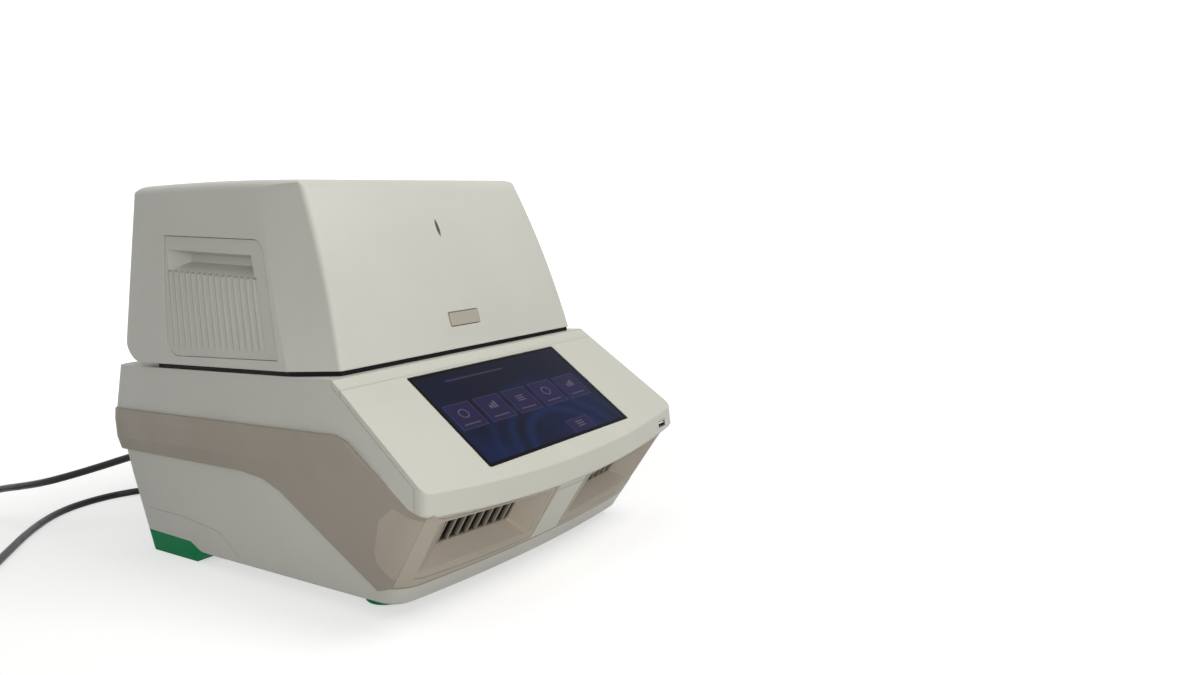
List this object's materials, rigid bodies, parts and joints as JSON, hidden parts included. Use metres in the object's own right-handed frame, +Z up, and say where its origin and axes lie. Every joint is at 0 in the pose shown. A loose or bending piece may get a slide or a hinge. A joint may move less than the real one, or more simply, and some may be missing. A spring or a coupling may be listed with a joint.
{
  "type": "real-time PCR system",
  "caption": "Bench-top real-time PCR system: thermal cycler base with sloped touch screen, motorised optical lid, side grips and green feet.",
  "frame": {"origin": "on the bench under the middle of the case, measured without the cords", "axes": "+Z up; the screen faces -Y; +X to the right of someone facing the screen"},
  "size_m": [0.5387, 0.8223, 0.3556],
  "materials": {
    "body_grey": "satin",
    "bezel_cream": "satin",
    "trim_taupe": "matte",
    "button_beige": "satin",
    "foot_green": "matte",
    "black_plastic": "matte",
    "seal_rubber": "matte",
    "cord_black": "satin",
    "screen_glass": "gloss",
    "light_lens": "gloss",
    "steel": "satin",
    "sheet_steel": "matte",
    "aluminium": "satin",
    "lens_black": "matte",
    "pan_plastic": "matte",
    "ceramic_white": "matte",
    "board_green": "satin"
  },
  "bodies": {
    "case": {"air_intake_left": "trim_taupe", "air_intake_right": "trim_taupe", "base_pan": "sheet_steel", "block_surround": "black_plastic", "corner_cap_left": "trim_taupe", "corner_cap_right": "trim_taupe", "data_cable": "cord_black", "data_cable_coil": "cord_black", "data_plug": "black_plastic", "data_socket": "steel", "display_module": "black_plastic", "fan_housings": "black_plastic", "front_bezel": "bezel_cream", "front_feet": "foot_green", "front_keel": "bezel_cream", "front_usb_socket": "steel", "heat_sink": "aluminium", "hinge_bracket_left": "steel", "hinge_bracket_right": "steel", "intake_fins": "black_plastic", "lid_motor": "aluminium", "light_seal": "seal_rubber", "lower_body": "body_grey", "main_board": "board_green", "mains_connector": "black_plastic", "mains_inlet": "black_plastic", "mains_lead": "cord_black", "mains_lead_coil": "cord_black", "mains_plug": "black_plastic", "motor_bracket": "steel", "power_supply": "sheet_steel", "rear_foot_left": "foot_green", "rear_foot_right": "foot_green", "rear_panel": "sheet_steel", "sample_block": "aluminium", "switch_body": "black_plastic", "thermoelectric_modules": "ceramic_white", "touch_glass": "screen_glass", "upper_body": "body_grey", "usb_pair": "steel", "usb_plug": "black_plastic", "waist_band": "trim_taupe"},
    "lid": {"lid_shell": "body_grey", "grip_panel_left": "trim_taupe", "grip_panel_right": "trim_taupe", "status_light": "light_lens", "lid_inner_pan": "pan_plastic", "lid_frame": "aluminium", "hinge_arm_left": "steel", "hinge_arm_right": "steel", "sector_gear": "steel", "guide_rails": "aluminium"},
    "lid_button_body": {"lid_button": "button_beige"},
    "heated_plate_body": {"heated_plate": "aluminium"},
    "carriage_body": {"cross_carriage": "aluminium"},
    "shuttle_body": {"lens_shuttle": "lens_black"},
    "pinion_body": {"drive_pinion": "steel"},
    "fan_left_body": {"fan_rotor_left": "black_plastic"},
    "fan_right_body": {"fan_rotor_right": "black_plastic"},
    "rocker_body": {"power_rocker": "black_plastic"}
  },
  "joints": [
    {"name": "lid_hinge", "type": "hinge", "parent": "case", "child": "lid", "pos_m": [0, 0.16, 0.229], "axis": [-1, 0, 0], "range_deg": [0, 50]},
    {"name": "lid_button_push", "type": "slide", "parent": "lid", "child": "lid_button_body", "axis": [0, 0.9734, -0.2291], "range_m": [0, 0.002], "stiffness_N_per_m": 600, "springref_m": -0.0005},
    {"name": "heated_plate_press", "type": "slide", "parent": "lid", "child": "heated_plate_body", "axis": [0, 0, 1], "range_m": [0, 0.005], "stiffness_N_per_m": 2000, "springref_m": -0.004},
    {"name": "carriage_slide", "type": "slide", "parent": "lid", "child": "carriage_body", "axis": [0, 1, 0], "range_m": [0, 0.063]},
    {"name": "shuttle_slide", "type": "slide", "parent": "carriage_body", "child": "shuttle_body", "axis": [1, 0, 0], "range_m": [0, 0.099]},
    {"name": "drive_pinion_spin", "type": "hinge", "parent": "case", "child": "pinion_body", "pos_m": [0.09, 0.121, 0.229], "axis": [-1, 0, 0], "range_deg": [-172, 4]},
    {"name": "fan_left_spin", "type": "hinge", "parent": "case", "child": "fan_left_body", "pos_m": [0.02, 0.2, 0.0635], "axis": [0, 1, 0], "continuous": true},
    {"name": "fan_right_spin", "type": "hinge", "parent": "case", "child": "fan_right_body", "pos_m": [0.096, 0.2, 0.0635], "axis": [0, 1, 0], "continuous": true},
    {"name": "power_rocker_tilt", "type": "hinge", "parent": "case", "child": "rocker_body", "pos_m": [-0.058, 0.2145, 0.078], "axis": [1, 0, 0], "range_deg": [0, 12]}
  ],
  "couplings": [
    {"joint": "drive_pinion_spin", "follows": "lid_hinge", "ratio": -3.3333}
  ]
}
